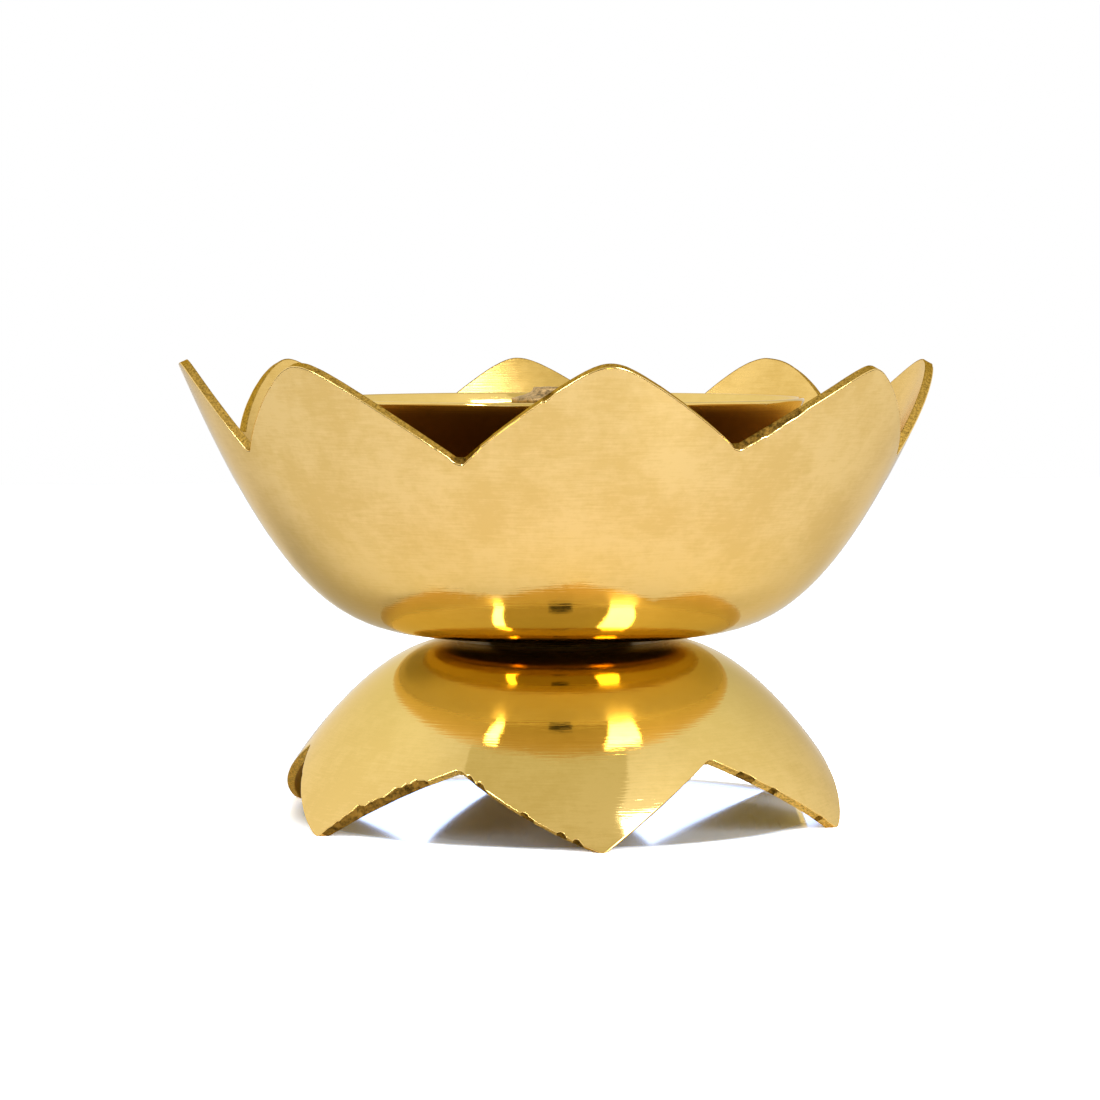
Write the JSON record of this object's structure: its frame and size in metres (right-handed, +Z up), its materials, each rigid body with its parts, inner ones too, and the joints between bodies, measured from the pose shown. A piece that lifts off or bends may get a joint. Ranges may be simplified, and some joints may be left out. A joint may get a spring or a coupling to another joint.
{
  "type": "lotus oil lamp",
  "caption": "Free-standing brass lotus oil lamp: petalled bowl on an upturned petalled base, oil cup inside, lift-out wick holder in the cup.",
  "frame": {"origin": "on the table, in the middle of the six feet, on the axis that the bowl, base and cup are turned about", "axes": "+Z up along the turning axis; one petal of the bowl faces -Y, and a foot stands nearly below it"},
  "size_m": [0.1275, 0.1274, 0.0763],
  "materials": {
    "polished_brass": "turned and satin polished",
    "cast_brass": "rough as cast, darkened",
    "zinc_steel": "zinc plated"
  },
  "bodies": {
    "lamp": {"lotus_base": "polished_brass", "lotus_bowl": "polished_brass", "neck_washer": "polished_brass", "cup_pillar": "polished_brass", "oil_cup": "polished_brass", "centre_stud": "zinc_steel", "base_washer": "zinc_steel", "base_nut": "zinc_steel"},
    "wick_holder": {"wick_holder": "cast_brass"}
  },
  "joints": [
    {"name": "holder_lift", "type": "slide", "parent": "lamp", "child": "wick_holder", "axis": [0, 0, 1], "range_m": [0, 0.045]}
  ]
}
